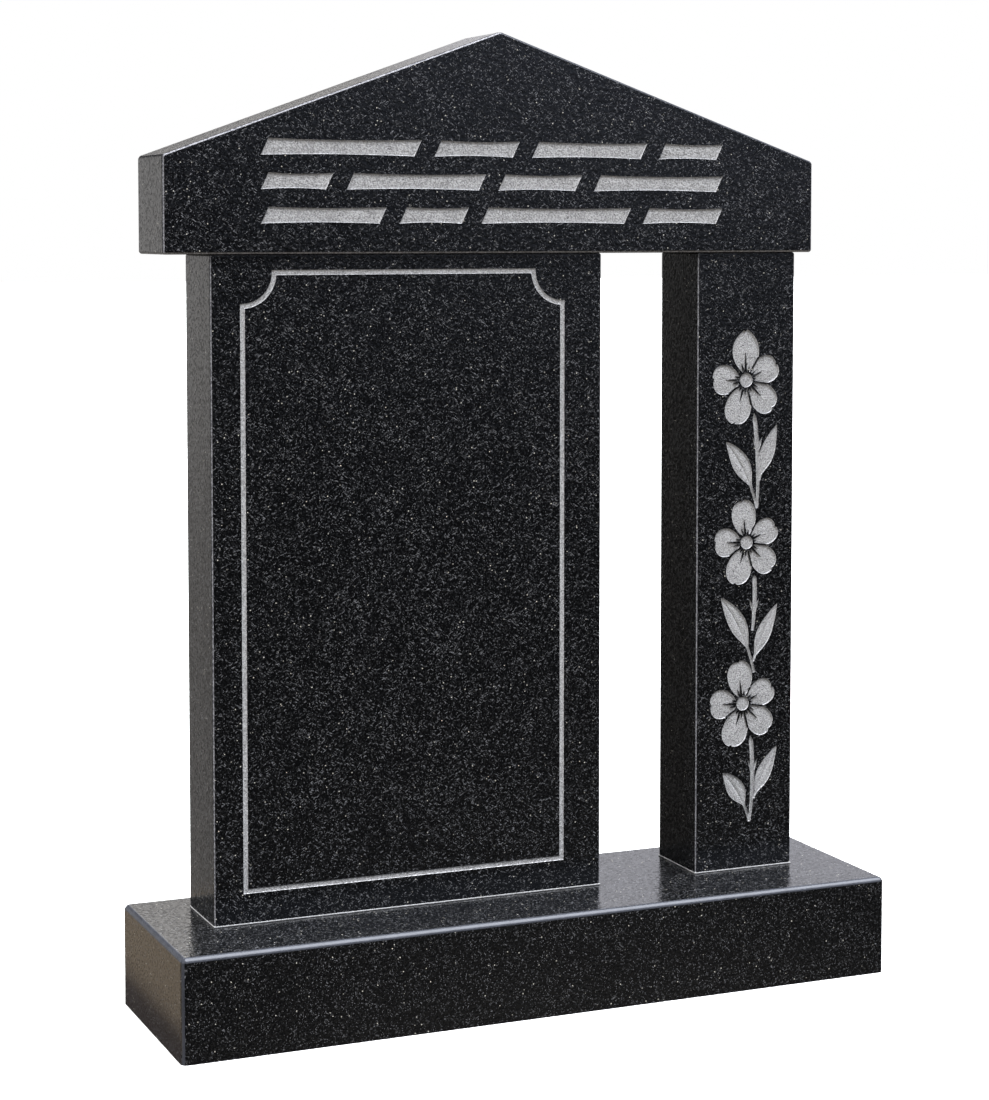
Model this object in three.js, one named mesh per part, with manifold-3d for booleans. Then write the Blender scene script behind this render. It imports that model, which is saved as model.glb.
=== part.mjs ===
import * as THREE from 'three';
import { mergeVertices } from 'three/addons/utils/BufferGeometryUtils.js';
import Module from 'manifold-3d';

const wasm = await Module();
wasm.setup();

// A gabled headstone of four polished granite blocks.
// Sizes are in millimetres. +X is right seen from the front, -Y is the front, +Z is up.
// The origin is on the ground under the middle of the base.

// Base: a low block that lies on the ground.
const BASE_WIDTH = 900;
const BASE_DEPTH = 250;
const BASE_HEIGHT = 120;
const BASE_ARRIS = 5.5;

// Tablet and pillar: two upright slabs of one thickness and one height, side by side.
const SLAB_THICKNESS = 100;
const SLAB_HEIGHT = 773;
const SLAB_ARRIS = 3;
const FRONT_LEDGE = 104;
const TABLET_LEFT = -381;
const TABLET_WIDTH = 490;
const PILLAR_LEFT = 240;
const PILLAR_WIDTH = 136;

// Pediment: a gabled slab across the tops of both, a little proud at the front.
const PEDIMENT_LEFT = -437;
const PEDIMENT_WIDTH = 834;
const PEDIMENT_PROUD = 6;
const PEDIMENT_ARRIS = 4;
const EAVES_HEIGHT = 112;
const GABLE_RISE = 149;
const RIDGE_X = -26;

// Carving: flat sunk grounds with upright walls, cut from the front faces.
const CARVING_DEPTH = 3;
const CUTTER_REACH = 4;

// Border line of the tablet, with scooped upper corners.
const BORDER_WIDTH = 5.5;
const BORDER_LEFT_MARGIN = 38;
const BORDER_RIGHT_MARGIN = 52;
const BORDER_TOP_MARGIN = 21;
const BORDER_BOTTOM_MARGIN = 39;
const SCOOP_RADIUS = 38;

// Rows of shallow strokes on the pediment. Each row lists the shares of its strokes.
const STROKE_ROWS = [
  [7, 4, 9, 5],
  [4, 8, 5, 8],
  [9, 5, 7, 4],
];
const STROKE_HEIGHT = 19;
const STROKE_GAP = 16;
const ROW_GAP = 20;
const ROW_LEFT = -322;
const ROW_LENGTH = 592;
const ROWS_BOTTOM = 35;
const STROKE_SLANT = 9;
const STROKE_WAIST = 1.5;

// Flowers of the pillar: five petals round a disc. Angles are in degrees.
const DISC_RADIUS = 8.2;
const RING_RADIUS = 10;
const PETAL_FOOT = 5;
const NOTCH_DEPTH = 2.4;
const NOTCH_WIDTH = 5;
const DIVIDER_WIDTH = 1.7;
const DIVIDER_LENGTH = 34;
const RIB_WIDTH = 2.2;
const RIB_END_WIDTH = 0.6;
const SIDE_PETALS = [
  { angle: 25, reach: 48, halfWidth: 17, fullness: 1, rib: 24 },
  { angle: -43, reach: 53, halfWidth: 17.5, fullness: 0.98, rib: 29 },
  { angle: -108, reach: 57, halfWidth: 18, fullness: 0.95, rib: 28 },
  { angle: 178, reach: 47, halfWidth: 18.5, fullness: 1, rib: 28 },
];
const POINTED_TOP = { angle: 91, reach: 63, halfWidth: 18.5, fullness: 0.74, rib: 34 };
const ROUND_TOP = { angle: 97, reach: 56, halfWidth: 17.5, fullness: 0.95, rib: 30 };

// Sprays: a flower at its place on the pillar, and the sprig under it, placed from the flower.
const STEM_TOP = [11.3, -41];
const STEM_HALF_WIDTH = 2.3;
const FORK_BELOW_TOP = 50;
const THORN_SPREAD = 7;
const THORN_RISE = 20;
const THORN_HALF_WIDTH = 1.3;
const STALK_HALF_WIDTH = 1.5;
const LEFT_LEAF = { lean: 0.27, lift: 0.58, neck: 0.24, halfWidth: 11.8 };
const RIGHT_LEAF = { lean: 0.36, lift: 0.44, neck: 0.04, halfWidth: 10 };
const SPRAYS = [
  { flower: [0, 614.5], size: 1, top: POINTED_TOP,
    foot: [16, -160], stemFoot: [16, -160], stemBow: 6.5,
    leftTip: [-27.6, -76], rightRoot: [19, -125], rightTip: [43.6, -56.7] },
  { flower: [2, 412], size: 0.96, top: ROUND_TOP,
    foot: [11.5, -164], stemFoot: [9, -111], stemBow: 3,
    leftTip: [-35.7, -67.6], rightRoot: [9.8, -150], rightTip: [43.7, -79.2] },
  { flower: [-2.3, 209.5], size: 0.98, top: ROUND_TOP,
    foot: [10.3, -149.6], stemFoot: [10.3, -149.6], stemBow: 7,
    leftTip: [-27.4, -85.5], rightRoot: [16, -121], rightTip: [48.5, -57] },
];
const SPINE_STEPS = 14;

const BASE_FRONT = -BASE_DEPTH / 2;
const SLAB_FRONT = BASE_FRONT + FRONT_LEDGE;
const SLAB_BACK = SLAB_FRONT + SLAB_THICKNESS;
const PEDIMENT_FRONT = SLAB_FRONT - PEDIMENT_PROUD;
const PEDIMENT_BOTTOM = BASE_HEIGHT + SLAB_HEIGHT;
const PILLAR_MIDDLE = PILLAR_LEFT + PILLAR_WIDTH / 2;
const RADIANS = Math.PI / 180;

function graniteMaterial() {
  return new THREE.MeshStandardMaterial({ color: 0x17191c, roughness: 0.12, metalness: 0 });
}

function point(x, y) {
  return new THREE.Vector2(x, y);
}

// A closed geometry as a solid that can be cut.
function toSolid(geometry) {
  const plain = geometry.clone();
  plain.deleteAttribute('normal');
  plain.deleteAttribute('uv');
  const merged = mergeVertices(plain, 1e-4);
  return new wasm.Manifold(new wasm.Mesh({
    numProp: 3,
    vertProperties: merged.attributes.position.array,
    triVerts: Uint32Array.from(merged.index.array),
  }));
}

function toGeometry(solid) {
  const mesh = solid.getMesh();
  const geometry = new THREE.BufferGeometry();
  geometry.setAttribute('position', new THREE.BufferAttribute(mesh.vertProperties, 3));
  geometry.setIndex(new THREE.BufferAttribute(mesh.triVerts, 1));
  geometry.computeVertexNormals();
  return geometry;
}

// An outline whose corners are cut off straight, as its arrises are.
function cutCorners(corners, size) {
  const outline = [];
  corners.forEach((corner, i) => {
    const before = corners[(i + corners.length - 1) % corners.length];
    const after = corners[(i + 1) % corners.length];
    for (const neighbour of [before, after]) {
      const step = neighbour.clone().sub(corner).setLength(size);
      outline.push(corner.clone().add(step));
    }
  });
  return new THREE.Shape(outline);
}

function rectangle(left, bottom, width, height) {
  return [
    point(left, bottom),
    point(left + width, bottom),
    point(left + width, bottom + height),
    point(left, bottom + height),
  ];
}

// A block with all its edges taken off flat, made by extruding its outline.
function arrisedBlock(corners, thickness, arris) {
  return new THREE.ExtrudeGeometry(cutCorners(corners, arris), {
    depth: thickness - 2 * arris,
    bevelThickness: arris,
    bevelSize: arris,
    bevelOffset: -arris,
    bevelSegments: 1,
  }).translate(0, 0, arris);
}

// Turns an outline drawn in X and Z into an upright slab between two Y places.
function standUp(geometry, back) {
  return geometry.rotateX(Math.PI / 2).translate(0, back, 0);
}

// A prism that sinks one shape into a front face.
function sinkCutter(shape, front, left, bottom) {
  const geometry = new THREE.ExtrudeGeometry(shape, {
    depth: CARVING_DEPTH + CUTTER_REACH,
    bevelEnabled: false,
  });
  return toSolid(standUp(geometry.translate(left, bottom, 0), front + CARVING_DEPTH));
}

function joined(solids) {
  return solids.reduce((whole, next) => whole.add(next));
}

// A stroke that follows a spine, with a half width for each place from 0 to 1 along it.
function spineShape(spine, halfWidthAt) {
  const near = [];
  const far = [];
  for (let i = 0; i <= SPINE_STEPS; i += 1) {
    const place = i / SPINE_STEPS;
    const middle = spine.getPoint(place);
    const along = spine.getTangent(place);
    const across = point(-along.y, along.x).multiplyScalar(halfWidthAt(place));
    near.push(middle.clone().add(across));
    far.unshift(middle.clone().sub(across));
  }
  return new THREE.Shape([...near, ...far]);
}

// Half an outline of the border, from the bottom middle up to the top middle.
// The offset moves it out from the middle line of the cut.
function borderHalf(halfWidth, height, offset) {
  const radius = SCOOP_RADIUS - offset;
  const turn = offset < 0 ? Math.asin(-offset / radius) : 0;
  const scoop = [];
  if (offset > 0) {
    scoop.push(point(halfWidth + offset, height - radius));
  }
  const steps = 8;
  for (let i = 0; i <= steps; i += 1) {
    const angle = -Math.PI / 2 - turn - (i / steps) * (Math.PI / 2 - 2 * turn);
    scoop.push(point(halfWidth + radius * Math.cos(angle), height + radius * Math.sin(angle)));
  }
  if (offset > 0) {
    scoop.push(point(halfWidth - radius, height + offset));
  }
  return [point(halfWidth + offset, -offset), ...scoop];
}

function borderOutline(width, height, offset) {
  const right = borderHalf(width / 2, height, offset);
  const left = right.map((p) => point(-p.x, p.y)).reverse();
  return [...right, ...left];
}

function borderShape(width, height) {
  const shape = new THREE.Shape(borderOutline(width, height, BORDER_WIDTH / 2));
  shape.holes.push(new THREE.Path(borderOutline(width, height, -BORDER_WIDTH / 2)));
  return shape;
}

// One stroke of the pediment: slanted ends and long sides that are slightly hollow.
function strokeShape(length) {
  const middle = length / 2;
  const shape = new THREE.Shape();
  shape.moveTo(0, 0);
  shape.quadraticCurveTo(middle, 2 * STROKE_WAIST, length - STROKE_SLANT, 0);
  shape.lineTo(length, STROKE_HEIGHT);
  shape.quadraticCurveTo(middle, STROKE_HEIGHT - 2 * STROKE_WAIST, STROKE_SLANT, STROKE_HEIGHT);
  return new THREE.Shape(shape.getPoints(5));
}

function strokeCutters() {
  const cutters = [];
  STROKE_ROWS.forEach((shares, row) => {
    const total = shares.reduce((sum, share) => sum + share, 0);
    const cutLength = ROW_LENGTH - STROKE_GAP * (shares.length - 1);
    const bottom = PEDIMENT_BOTTOM + ROWS_BOTTOM + row * (STROKE_HEIGHT + ROW_GAP);
    let left = ROW_LEFT;
    for (const share of shares) {
      const length = (cutLength * share) / total;
      cutters.push(sinkCutter(strokeShape(length), PEDIMENT_FRONT, left, bottom));
      left += length + STROKE_GAP;
    }
  });
  return cutters;
}

// A petal along +X, with a small notch beside its tip, turned to its angle.
function petalShape({ angle, reach, halfWidth, fullness }) {
  const length = reach - RING_RADIUS;
  const swell = 1.27 * halfWidth;
  const nearControl = RING_RADIUS + 0.28 * length;
  const farControl = RING_RADIUS + fullness * length;
  const tip = point(reach, -NOTCH_WIDTH / 2);
  const shoulder = point(reach - NOTCH_DEPTH / 2, NOTCH_WIDTH / 2);
  const lowerSide = new THREE.CubicBezierCurve(
    point(RING_RADIUS, -PETAL_FOOT), point(nearControl, -swell), point(farControl, -swell), tip,
  );
  const upperSide = new THREE.CubicBezierCurve(
    shoulder, point(farControl, swell), point(nearControl, swell), point(RING_RADIUS, PETAL_FOOT),
  );
  const outline = [
    ...lowerSide.getPoints(9),
    point(reach - NOTCH_DEPTH, 0),
    ...upperSide.getPoints(9),
  ];
  return new THREE.Shape(outline.map((p) => p.rotateAround(point(0, 0), angle * RADIANS)));
}

// A tapered bar from the ring outwards, left standing between or along the petals.
function standingBar(angle, length, footWidth, endWidth) {
  const outline = [
    point(RING_RADIUS - 1, -footWidth / 2),
    point(length, -endWidth / 2),
    point(length, endWidth / 2),
    point(RING_RADIUS - 1, footWidth / 2),
  ];
  return new THREE.Shape(outline.map((p) => p.rotateAround(point(0, 0), angle * RADIANS)));
}

function flowerCutter({ flower: [x, y], size, top }) {
  const petals = [top, ...SIDE_PETALS];
  const sink = (shape) => {
    const sized = new THREE.Shape(shape.getPoints(9).map((p) => p.multiplyScalar(size)));
    return sinkCutter(sized, SLAB_FRONT, PILLAR_MIDDLE + x, BASE_HEIGHT + y);
  };
  const bars = [];
  petals.forEach((petal, i) => {
    const next = petals[(i + 1) % petals.length];
    const turn = (next.angle - petal.angle - 360) % 360;
    const between = petal.angle + turn / 2;
    bars.push(sink(standingBar(between, DIVIDER_LENGTH, DIVIDER_WIDTH, DIVIDER_WIDTH)));
    bars.push(sink(standingBar(petal.angle, petal.rib, RIB_WIDTH, RIB_END_WIDTH)));
  });
  const disc = new THREE.Shape().absarc(0, 0, DISC_RADIUS, 0, 2 * Math.PI);
  const blades = petals.map((petal) => sink(petalShape(petal)));
  return joined(blades).subtract(joined(bars)).add(sink(disc));
}

// A leaf on its stalk, from its root to its tip. The stalk rises first and then leans over.
function leafShape(root, tip, { lean, lift, neck, halfWidth }) {
  const control = point(
    root.x + lean * (tip.x - root.x),
    root.y + lift * (tip.y - root.y),
  );
  const spine = new THREE.QuadraticBezierCurve(root, control, tip);
  return spineShape(spine, (place) => {
    const blade = Math.max(0, (place - neck) / (1 - neck));
    const swell = halfWidth * Math.sin(Math.PI * blade) ** (1.5 - 0.7 * blade);
    return Math.max(swell, STALK_HALF_WIDTH * Math.min(1, 4 * (1 - place)), 0.15);
  });
}

function stemShape(foot, top, bow) {
  const control = point((foot.x + top.x) / 2 + bow, (foot.y + top.y) / 2);
  const spine = new THREE.QuadraticBezierCurve(foot, control, top);
  return spineShape(spine, (place) => {
    const taper = Math.min(0.55 + 0.75 * place, 5 * (1 - place));
    return Math.max(0.3, STEM_HALF_WIDTH * Math.min(1, taper));
  });
}

function thornShape(fork, side) {
  const tip = point(fork.x + side * THORN_SPREAD, fork.y + THORN_RISE);
  const control = point(fork.x + side * THORN_SPREAD * 0.35, fork.y + THORN_RISE * 0.55);
  const spine = new THREE.QuadraticBezierCurve(fork, control, tip);
  return spineShape(spine, (place) => Math.max(0.3, THORN_HALF_WIDTH * (1 - place * place)));
}

function sprigCutter(spray) {
  const place = ([x, y]) => point(spray.flower[0] + x, spray.flower[1] + y);
  const stemFoot = place(spray.stemFoot);
  const stemTop = place(STEM_TOP);
  const share = 1 - FORK_BELOW_TOP / (stemTop.y - stemFoot.y);
  const fork = point(
    stemFoot.x + (stemTop.x - stemFoot.x) * share + 2 * share * (1 - share) * spray.stemBow,
    stemTop.y - FORK_BELOW_TOP,
  );
  const shapes = [
    leafShape(place(spray.foot), place(spray.leftTip), LEFT_LEAF),
    leafShape(place(spray.rightRoot), place(spray.rightTip), RIGHT_LEAF),
    stemShape(stemFoot, stemTop, spray.stemBow),
    thornShape(fork, -1),
    thornShape(fork, 1),
  ];
  return joined(shapes.map((shape) => sinkCutter(shape, SLAB_FRONT, PILLAR_MIDDLE, BASE_HEIGHT)));
}

function makeBase() {
  const plan = rectangle(-BASE_WIDTH / 2, BASE_FRONT, BASE_WIDTH, BASE_DEPTH);
  const below = 2 * BASE_ARRIS;
  const block = arrisedBlock(plan, BASE_HEIGHT + below, BASE_ARRIS).translate(0, 0, -below);
  const ground = new THREE.BoxGeometry(2 * BASE_WIDTH, 2 * BASE_DEPTH, 2 * below);
  return toSolid(block).subtract(toSolid(ground.translate(0, 0, -below)));
}

function makeTablet() {
  const outline = rectangle(TABLET_LEFT, BASE_HEIGHT, TABLET_WIDTH, SLAB_HEIGHT);
  const slab = toSolid(standUp(arrisedBlock(outline, SLAB_THICKNESS, SLAB_ARRIS), SLAB_BACK));
  const width = TABLET_WIDTH - BORDER_LEFT_MARGIN - BORDER_RIGHT_MARGIN;
  const height = SLAB_HEIGHT - BORDER_TOP_MARGIN - BORDER_BOTTOM_MARGIN;
  const middle = TABLET_LEFT + BORDER_LEFT_MARGIN + width / 2;
  const bottom = BASE_HEIGHT + BORDER_BOTTOM_MARGIN;
  return slab.subtract(sinkCutter(borderShape(width, height), SLAB_FRONT, middle, bottom));
}

function makePillar() {
  const outline = rectangle(PILLAR_LEFT, BASE_HEIGHT, PILLAR_WIDTH, SLAB_HEIGHT);
  const slab = toSolid(standUp(arrisedBlock(outline, SLAB_THICKNESS, SLAB_ARRIS), SLAB_BACK));
  const carving = SPRAYS.map((spray) => flowerCutter(spray).add(sprigCutter(spray)));
  return slab.subtract(joined(carving));
}

function makePediment() {
  const right = PEDIMENT_LEFT + PEDIMENT_WIDTH;
  const eaves = PEDIMENT_BOTTOM + EAVES_HEIGHT;
  const outline = [
    point(PEDIMENT_LEFT, PEDIMENT_BOTTOM),
    point(right, PEDIMENT_BOTTOM),
    point(right, eaves),
    point(RIDGE_X, eaves + GABLE_RISE),
    point(PEDIMENT_LEFT, eaves),
  ];
  const thickness = SLAB_THICKNESS + PEDIMENT_PROUD;
  const slab = toSolid(standUp(arrisedBlock(outline, thickness, PEDIMENT_ARRIS), SLAB_BACK));
  return slab.subtract(joined(strokeCutters()));
}

const headstone = new THREE.Group();
const STONES = { base: makeBase, tablet: makeTablet, pillar: makePillar, pediment: makePediment };
for (const [name, make] of Object.entries(STONES)) {
  const mesh = new THREE.Mesh(toGeometry(make()), graniteMaterial());
  mesh.name = name;
  headstone.add(mesh);
}

export default headstone;
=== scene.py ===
import math

import bmesh
import bpy
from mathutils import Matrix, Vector


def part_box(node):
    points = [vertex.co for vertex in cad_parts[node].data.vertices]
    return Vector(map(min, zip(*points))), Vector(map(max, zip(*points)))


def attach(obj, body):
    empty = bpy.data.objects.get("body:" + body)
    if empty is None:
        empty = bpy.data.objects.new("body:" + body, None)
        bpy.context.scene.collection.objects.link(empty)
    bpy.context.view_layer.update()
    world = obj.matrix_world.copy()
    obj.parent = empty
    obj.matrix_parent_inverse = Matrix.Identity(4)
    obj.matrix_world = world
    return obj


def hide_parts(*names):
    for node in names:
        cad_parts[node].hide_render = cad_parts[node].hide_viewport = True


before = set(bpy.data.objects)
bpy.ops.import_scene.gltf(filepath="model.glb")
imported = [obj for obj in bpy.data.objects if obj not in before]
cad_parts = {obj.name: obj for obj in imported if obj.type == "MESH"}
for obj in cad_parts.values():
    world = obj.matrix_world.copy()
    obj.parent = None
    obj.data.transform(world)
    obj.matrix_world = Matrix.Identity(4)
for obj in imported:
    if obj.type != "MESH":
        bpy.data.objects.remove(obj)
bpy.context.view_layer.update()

# A gabled headstone of four polished granite stones with frosted carving.
# Sizes are in metres. +X is right seen from the front, -Y is the front, +Z is up.

# Stones: their places come from the frame, these are the sizes within them. The middle of
# an arris is where it faces the front and the side both by more than RUBBED_MIDDLE. The
# ridge is sawn higher by RIDGE_CUT, which its rounding takes off again.
BASE_ARRIS = 0.0055
SLAB_ARRIS = 0.0024
PEDIMENT_ARRIS = 0.003
ARRIS_STEPS = 4
ARRIS_PROFILE = 0.38
RUBBED_MIDDLE = 0.42
LOOKING_UP = 0.2
EAVES_HEIGHT = 0.112
RIDGE_X = -0.026
RIDGE_CUT = 0.00077

# Meshes: where faces meet at more than SHARP_ANGLE, in degrees, the edge stays crisp.
SHARP_ANGLE = 32
WELD_DISTANCE = 1e-7
GROUND_TOLERANCE = 1e-6

# Carving: how deep it is sunk, how far a cutter stands out before the face, and how far
# its walls lean inwards on their way down.
CARVING_DEPTH = 0.0016
CUTTER_REACH = 0.004
WALL_DRAFT = 0.0005

# Border line of the tablet, with scooped upper corners.
BORDER_WIDTH = 0.0055
BORDER_DEPTH = 0.0008
BORDER_LEFT_MARGIN = 0.038
BORDER_RIGHT_MARGIN = 0.052
BORDER_TOP_MARGIN = 0.021
BORDER_BOTTOM_MARGIN = 0.039
SCOOP_RADIUS = 0.038
SCOOP_STEPS = 16

# Rows of strokes on the pediment. Each row lists the shares of its strokes.
STROKE_ROWS = [(7, 4, 9, 5), (4, 8, 5, 8), (9, 5, 7, 4)]
STROKE_HEIGHT = 0.019
STROKE_GAP = 0.016
ROW_GAP = 0.020
ROW_LEFT = -0.322
ROW_LENGTH = 0.592
ROWS_BOTTOM = 0.035
STROKE_SLANT = 0.009
STROKE_WAIST = 0.0015

# Flowers of the pillar: five petals round a disc. Their angles are in degrees, from the
# right upwards.
DISC_RADIUS = 0.0088
RING_RADIUS = 0.0101
PETAL_FOOT = 0.005
NOTCH_DEPTH = 0.0024
NOTCH_WIDTH = 0.005
DIVIDER_WIDTH = 0.0017
DIVIDER_LENGTH = 0.034
SLIVER_WIDTH = 0.0023
SIDE_PETALS = [
    {"angle": 25, "reach": 0.048, "half_width": 0.017, "fullness": 1.0, "sliver": 0.024},
    {"angle": -43, "reach": 0.053, "half_width": 0.0175, "fullness": 0.98, "sliver": 0.029},
    {"angle": -108, "reach": 0.057, "half_width": 0.018, "fullness": 0.95, "sliver": 0.028},
    {"angle": 178, "reach": 0.047, "half_width": 0.0185, "fullness": 1.0, "sliver": 0.028},
]
POINTED_TOP = {
    "angle": 91, "reach": 0.063, "half_width": 0.0185, "fullness": 0.74, "sliver": 0.034,
}
ROUND_TOP = {
    "angle": 97, "reach": 0.056, "half_width": 0.0175, "fullness": 0.95, "sliver": 0.030,
}
# A petal's slivers: the turn from its middle in degrees, and the share of the full length.
SLIVERS = [(0, 1.0), (15, 0.45), (-17, 0.30)]

# Sprays: a flower at its place on the pillar, and the sprig under it, placed from the flower.
STEM_TOP = (0.0113, -0.041)
STEM_HALF_WIDTH = 0.0029
FORK_BELOW_TOP = 0.050
THORN_SPREAD = 0.007
THORN_RISE = 0.020
THORN_HALF_WIDTH = 0.0018
STALK_HALF_WIDTH = 0.0017
LEFT_LEAF = {"lean": 0.27, "lift": 0.58, "neck": 0.24, "half_width": 0.0118, "vein": 1.0}
RIGHT_LEAF = {"lean": 0.36, "lift": 0.44, "neck": 0.04, "half_width": 0.010, "vein": 0.35}
SPRAYS = [
    {"flower": (0, 0.6145), "size": 1.0, "top": POINTED_TOP,
     "foot": (0.016, -0.160), "stem_foot": (0.016, -0.160), "stem_bow": 0.0065,
     "left_tip": (-0.0276, -0.076),
     "right_root": (0.019, -0.125), "right_tip": (0.0436, -0.0567)},
    {"flower": (0.002, 0.412), "size": 0.96, "top": ROUND_TOP,
     "foot": (0.0115, -0.164), "stem_foot": (0.009, -0.111), "stem_bow": 0.003,
     "left_tip": (-0.0357, -0.0676),
     "right_root": (0.0098, -0.150), "right_tip": (0.0437, -0.0792)},
    {"flower": (-0.0023, 0.2095), "size": 0.98, "top": ROUND_TOP,
     "foot": (0.0103, -0.1496), "stem_foot": (0.0103, -0.1496), "stem_bow": 0.007,
     "left_tip": (-0.0274, -0.0855),
     "right_root": (0.016, -0.121), "right_tip": (0.0485, -0.057)},
]

# Details of the carving. A face of a cutter is ground where it looks this squarely to the
# front, and otherwise wall. Bars are the stone left standing between the petals and on them.
GROUND_FACING = 0.75
THINNEST = 0.00012
PETAL_CROWN = 0.0006
LEAF_CROWN = 0.0006
VEIN_DEPTH = 0.0006
DISC_DOME = 0.0004
STROKE_DISH = 0.0003
BAR_REACH = 0.0005
BAR_DEPTH = 0.0045
BAR_DRAFT = 0.0006

# Shapes of the cutters. A grid is the points along one and across it. The higher its point,
# the blunter a blade ends.
STROKE_GRID = (17, 7)
PETAL_GRID = (25, 13)
BLADE_GRID = (33, 13)
DISC_SIDES = 48
DISC_RINGS = 8
PETAL_SHOULDER = 0.28
PETAL_SWELL = 1.27
LEAF_BULGE = 1.5
LEAF_BULGE_LOSS = 0.7
SIDE_CROWDING = 1.5
VEIN_NARROWNESS = 8
WALL_ROOM = 0.9
LEAST_FLOOR = 0.2
BAR_INSET = 0.001
BLUNT_POINT = 30.0
SLIVER_POINT = 1.5
THORN_POINT = 2.2
THORN_BEND = (0.35, 0.55)
STALK_POINT = 4.0
STEM_START = 0.6
STEM_RISE = 0.75
STEM_POINT = 16.0

# Joint: a thin bead of jointing round the foot of the tablet and of the pillar.
JOINT_RADIUS = 0.0011
JOINT_INSET = 0.0008
JOINT_SIDES = 10

# Surface of the stone. Sizes are in metres, and a noise is given by its scale. A range or an
# edge is where a value starts and ends its rise and, if it has four numbers, what it rises
# from and to. The crystals lie along these axes, and each layer has its share of the stone.
CRYSTAL_WIDTH = 0.0012
CRYSTAL_LENGTH = 0.0058
CRYSTAL_AXES = [(0, 1, 1.6), (0, 1, -1.6), (1, 1.6, 0), (1, -1.6, 0), (1.6, 0, 1), (-1.6, 0, 1)]
CRYSTAL_SHARE = 0.17
CRYSTAL_EDGE = (0.14, 0.46, 1.0, 0.0)
CRYSTAL_RARITY = 2.2
CRYSTAL_CURL = 0.0014
CURL_NOISE = 290.0
CLOUD_NOISE = 26
CLOUD_RANGE = (0.3, 0.7, 0.75, 1.2)
SPARK_SPACING = 0.0038
SPARK_SHARE = 0.09
FAINT_SPARKS = 0.6
SPARK_EDGE = (0.08, 0.25, 1.0, 0.0)
GROUND = (0.0022, 0.0024, 0.0028, 1)
CRYSTAL = (0.192, 0.195, 0.206, 1)
SPARK = (0.70, 0.67, 0.59, 1)
STONE_IOR = 1.52
POLISH_NOISE = 280
POLISH_RIPPLE = 0.00030
POLISH_ROUGHNESS = 0.045
DULL_PATCHES = 0.25
DULL_RANGE = (0.45, 0.60)

# Finishes of an arris: its dark and light tones, its roughness and how mottled it is. The
# worn noise is its scale, detail and roughness.
WORN_NOISE = (420, 3, 0.6)
WORN_RANGE = (0.38, 0.62)
WORN_ROUGHNESS = 0.1
ARRIS_PATCHES = 60
RUBBED = ((0.06, 0.06, 0.07, 1), (0.29, 0.29, 0.31, 1), 0.32, 0.8)
POLISHED_ROUND = ((0.022, 0.024, 0.029, 1), (0.055, 0.058, 0.07, 1), 0.16, 0.12)

# Carved walls, jointing and frosted grounds. The frost's light is what its grain and its
# patches add to the least of it, less what the crystals' streaks take.
WALL_COLOUR = (0.42, 0.42, 0.43)
WALL_NOISE = 700
WALL_RANGE = (0.3, 0.7, 0.4, 1.6)
WALL_ROUGHNESS = 0.35
JOINT_DARK = (0.28, 0.28, 0.29, 1)
JOINT_LIGHT = (0.50, 0.50, 0.50, 1)
JOINT_NOISE = 900
JOINT_ROUGHNESS = 0.6
FROST_DARK = (0.11, 0.11, 0.11, 1)
FROST_LIGHT = (0.52, 0.52, 0.525, 1)
FROST_NOISE = 560
FROST_RANGE = (0.34, 0.66)
FROST_PATCHES = 90
FROST_GRAIN_LIGHT = 0.5
FROST_PATCH_LIGHT = 0.3
FROST_LEAST_LIGHT = 0.28
FROST_STREAKS = 0.9
FROST_ROUGHNESS = 0.75
FROST_SHINE = 0.3
FROST_RELIEF = 0.0003

# Studio. A panel is azimuth, elevation, radius and softness in degrees, and its light.
# Azimuth 0 is behind the stone and 90 to its right.
FLOOR_REACH = 40
FLOOR_COLOUR = (0.86, 0.86, 0.86, 1)
FLOOR_ROUGHNESS = 0.9
BACKGROUND = (1, 1, 1, 1)
ROOM_COLOUR = (0.025, 0.025, 0.030, 1)
BELOW_COLOUR = (0.036, 0.034, 0.032, 1)
HORIZON_BLUR = 0.03
PANELS = [
    (-2, -6, 19, 2.5, (0.32, 0.305, 0.295)),
    (-16, 5, 6, 8, (0.31, 0.31, 0.31)),
    (14, 20, 7, 5, (1.25, 1.21, 1.17)),
    (40, 14, 19, 4, (0.96, 0.96, 1.05)),
    (128, 64, 20, 6, (8.0, 8.4, 9.4)),
    (-112, 4, 10, 6, (2.4, 2.4, 2.5)),
    (150, 20, 14, 12, (0.55, 0.61, 0.77)),
    (154, -25, 10, 2, (0.20, 0.185, 0.17)),
    (90, -90, 55, 10, (0.75, 0.68, 0.58)),
]

# Glowing card on the floor at the left, a painted reflection of the lit ground: its left, right,
# front and back edges, the width of the strip of painted shadow by the stone, and the light of
# both.
WARM_CARD = (-1.3, -0.45, -0.125, 0.55)
SHADED_STRIP = 0.036
STRIP_BLUR = 0.012
WARM_LIGHT = (0.47, 0.38, 0.285, 1)
SHADED_LIGHT = (0.12, 0.10, 0.095, 1)

# Lamps: azimuth and elevation of where the light comes from, its spread in degrees,
# its strength and its colour.
LAMPS = {
    "key_lamp": (176, 45, 40, 1.4, (1.0, 0.99, 0.97)),
    "top_lamp": (0, 90, 60, 8.4, (1.0, 1.0, 1.0)),
    "side_lamp": (-94, 12, 16, 1.6, (1.0, 0.99, 0.98)),
}

# Camera: at the photograph's angle, before the stone and to its left. Its turn and dip are
# in radians, its lens and sensor in millimetres.
CAMERA_PLACE = (-1.1976, -2.7563, 0.9214)
CAMERA_TURN = 0.403
CAMERA_DIP = 0.062
LENS = 82.1
SENSOR_WIDTH = 36
LENS_SHIFT = -0.15

# The finishes in a stone's material slots, and their places there.
FINISHES = ("polished_granite", "rubbed_arris", "frosted_granite", "carved_wall", "joint",
            "polished_arris")
POLISHED, ARRIS, FROSTED, WALL, JOINT, ROUNDED = range(len(FINISHES))


# Camera

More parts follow.
